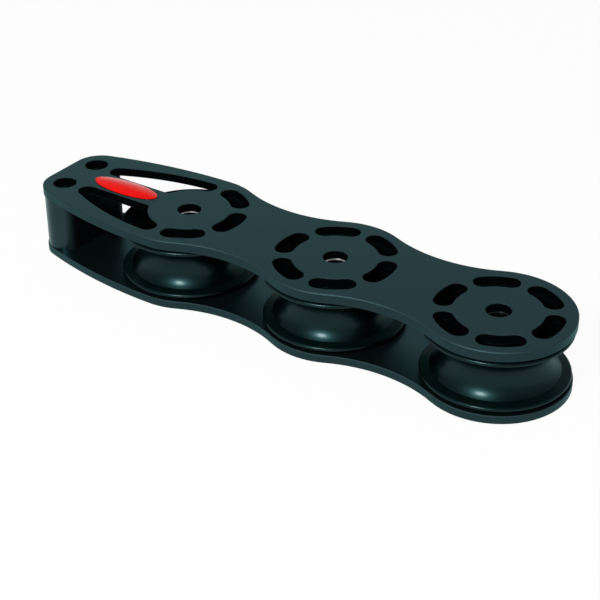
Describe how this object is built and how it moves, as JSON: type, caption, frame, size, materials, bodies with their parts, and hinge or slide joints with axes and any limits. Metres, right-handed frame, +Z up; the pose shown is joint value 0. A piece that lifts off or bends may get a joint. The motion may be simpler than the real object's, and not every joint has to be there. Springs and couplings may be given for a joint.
{
  "type": "rope deck organizer",
  "caption": "Flat deck organizer: grooved rope sheaves in a row between two cut-out plates joined by a nose block.",
  "frame": {"origin": "on the deck face, on the axis of the middle sheave's bolt", "axes": "+X along the row of sheaves from the nose towards the round end, +Z up away from the deck, +Y across the row"},
  "size_m": [0.2101, 0.051, 0.0279],
  "materials": {
    "plate_anodising": "satin, dark blue-grey anodised",
    "spacer_anodising": "satin, near-black anodised",
    "sheave_plastic": "glossy black, turned",
    "liner_plastic": "plain ivory bearing plastic",
    "sleeve_steel": "turned stainless steel",
    "washer_plastic": "plain white slide washer",
    "badge_enamel": "glossy red dome, bare"
  },
  "bodies": {
    "frame": {"top_plate": "plate_anodising", "bottom_plate": "plate_anodising", "nose_spacer": "spacer_anodising", "badge": "badge_enamel", "hub_sleeve_1": "sleeve_steel", "upper_washer_1": "washer_plastic", "lower_washer_1": "washer_plastic", "hub_sleeve_2": "sleeve_steel", "upper_washer_2": "washer_plastic", "lower_washer_2": "washer_plastic", "hub_sleeve_3": "sleeve_steel", "upper_washer_3": "washer_plastic", "lower_washer_3": "washer_plastic"},
    "sheave_body_1": {"sheave_1": "sheave_plastic", "bearing_liner_1": "liner_plastic"},
    "sheave_body_2": {"sheave_2": "sheave_plastic", "bearing_liner_2": "liner_plastic"},
    "sheave_body_3": {"sheave_3": "sheave_plastic", "bearing_liner_3": "liner_plastic"}
  },
  "joints": [
    {"name": "sheave_1_turn", "type": "hinge", "parent": "frame", "child": "sheave_body_1", "pos_m": [-0.0625, 0, 0.01315], "axis": [0, 0, 1], "continuous": true},
    {"name": "sheave_2_turn", "type": "hinge", "parent": "frame", "child": "sheave_body_2", "pos_m": [0, 0, 0.01315], "axis": [0, 0, 1], "continuous": true},
    {"name": "sheave_3_turn", "type": "hinge", "parent": "frame", "child": "sheave_body_3", "pos_m": [0.0625, 0, 0.01315], "axis": [0, 0, 1], "continuous": true}
  ]
}
